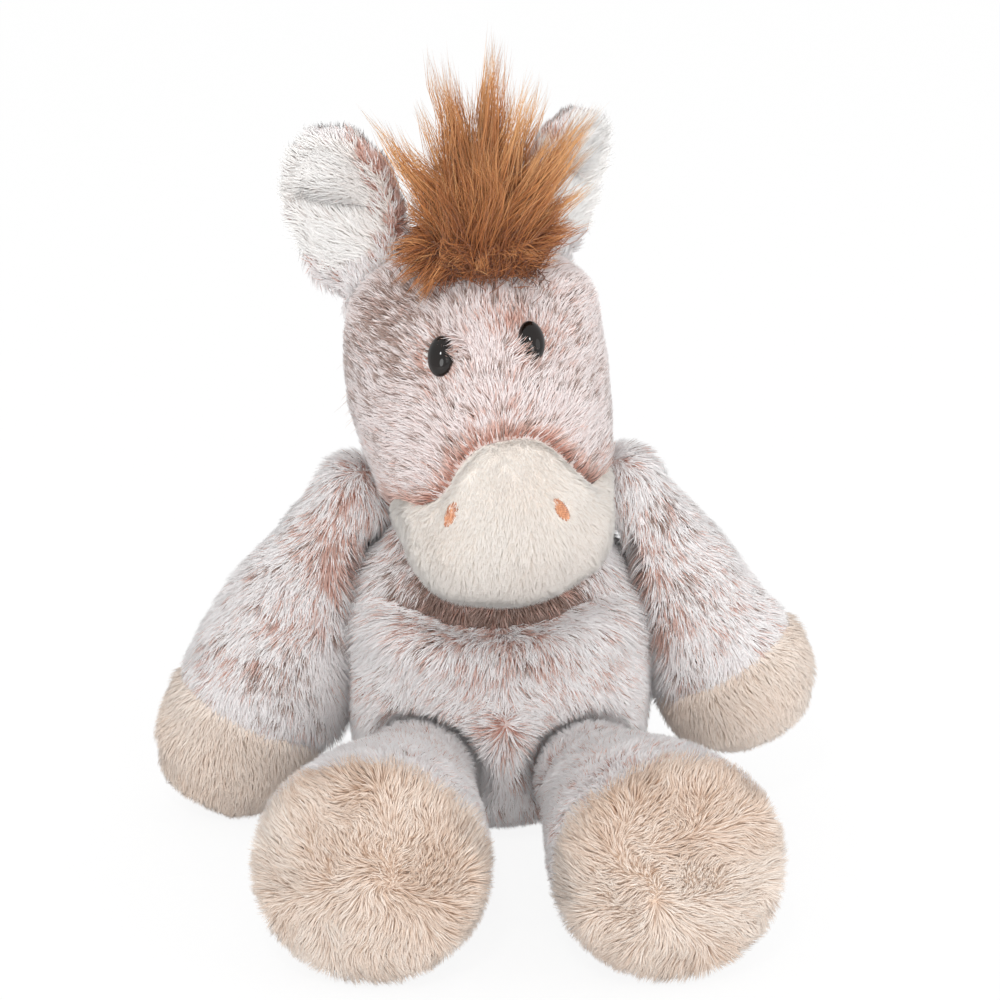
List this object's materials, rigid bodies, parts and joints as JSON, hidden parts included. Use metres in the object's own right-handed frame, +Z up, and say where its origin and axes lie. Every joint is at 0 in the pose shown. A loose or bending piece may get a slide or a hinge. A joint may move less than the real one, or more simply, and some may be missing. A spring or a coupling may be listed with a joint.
{
  "type": "plush horse",
  "caption": "Seated plush horse with mottled pile, long brown mane, cream muzzle, floppy limbs and round hooves.",
  "frame": {"origin": "on the floor, under the middle of the bounding box", "axes": "+Z up, the horse faces -Y, its own left side is at +X"},
  "size_m": [0.225, 0.2158, 0.2715],
  "materials": {
    "mottled_pile": "long soft pile, pale grey with rust patches",
    "cream_pile": "short cream pile",
    "hoof_pile": "soft beige pile",
    "mane_pile": "long brown pile",
    "fibre_filling": "white polyester fibre",
    "bag_cloth": "plain woven bag filled with pellets",
    "eye_gloss": "polished black dome",
    "washer_plastic": "moulded white washer",
    "satin_stitch": "copper satin-stitch thread"
  },
  "bodies": {
    "torso": {"torso_cover": "mottled_pile", "torso_filling": "fibre_filling", "pellet_bag": "bag_cloth"},
    "right_ear": {"right_ear_cover": "mottled_pile", "right_ear_lining": "cream_pile"},
    "left_ear": {"left_ear_cover": "mottled_pile", "left_ear_lining": "cream_pile"},
    "head": {"head_cover": "mottled_pile", "muzzle_cover": "cream_pile", "head_filling": "fibre_filling", "right_eye": "eye_gloss", "right_eye_washer": "washer_plastic", "right_nostril": "satin_stitch", "left_eye": "eye_gloss", "left_eye_washer": "washer_plastic", "left_nostril": "satin_stitch", "forelock": "mane_pile", "neck_mane": "mane_pile"},
    "neck": {"neck_cover": "mottled_pile", "neck_filling": "fibre_filling"},
    "right_arm": {"right_arm_cover": "mottled_pile", "right_arm_hoof": "hoof_pile", "right_arm_sole": "hoof_pile", "right_arm_filling": "fibre_filling"},
    "right_leg": {"right_leg_cover": "mottled_pile", "right_leg_hoof": "hoof_pile", "right_leg_sole": "hoof_pile", "right_leg_filling": "fibre_filling"},
    "left_arm": {"left_arm_cover": "mottled_pile", "left_arm_hoof": "hoof_pile", "left_arm_sole": "hoof_pile", "left_arm_filling": "fibre_filling"},
    "left_leg": {"left_leg_cover": "mottled_pile", "left_leg_hoof": "hoof_pile", "left_leg_sole": "hoof_pile", "left_leg_filling": "fibre_filling"},
    "tail": {"tail": "mane_pile"}
  },
  "joints": [
    {"name": "head_turn", "type": "hinge", "parent": "torso", "child": "neck", "pos_m": [-0.00197, 0.0389, 0.12785], "axis": [0, 0, 1], "range_deg": [-25, 20]},
    {"name": "head_nod", "type": "hinge", "parent": "neck", "child": "head", "pos_m": [-0.00197, 0.0389, 0.12785], "axis": [-1, 0, 0], "range_deg": [0, 30]},
    {"name": "right_ear_bend", "type": "hinge", "parent": "head", "child": "right_ear", "pos_m": [-0.03954, 0.02485, 0.19381], "axis": [1, 0, 0], "range_deg": [-15, 15], "stiffness_Nm_per_rad": 0.03},
    {"name": "left_ear_bend", "type": "hinge", "parent": "head", "child": "left_ear", "pos_m": [0.02016, 0.0343, 0.20166], "axis": [1, 0, 0], "range_deg": [-15, 15], "stiffness_Nm_per_rad": 0.03},
    {"name": "right_arm_swing", "type": "hinge", "parent": "torso", "child": "right_arm", "pos_m": [-0.04441, 0.04298, 0.11452], "axis": [-0.9989, -0.0033, -0.047], "range_deg": [-25, 90]},
    {"name": "left_arm_swing", "type": "hinge", "parent": "torso", "child": "left_arm", "pos_m": [0.04649, 0.04328, 0.11879], "axis": [-0.9989, -0.0033, -0.047], "range_deg": [-25, 90]},
    {"name": "right_leg_lift", "type": "hinge", "parent": "torso", "child": "right_leg", "pos_m": [-0.02345, 0.00097, 0.0273], "axis": [-1, 0, 0], "range_deg": [-15, 20]},
    {"name": "left_leg_lift", "type": "hinge", "parent": "torso", "child": "left_leg", "pos_m": [0.03655, 0.00097, 0.0273], "axis": [-1, 0, 0], "range_deg": [-15, 20]},
    {"name": "tail_swing", "type": "hinge", "parent": "torso", "child": "tail", "pos_m": [0.00448, 0.08542, 0.0406], "axis": [0, 1, 0], "range_deg": [-25, 25]}
  ]
}
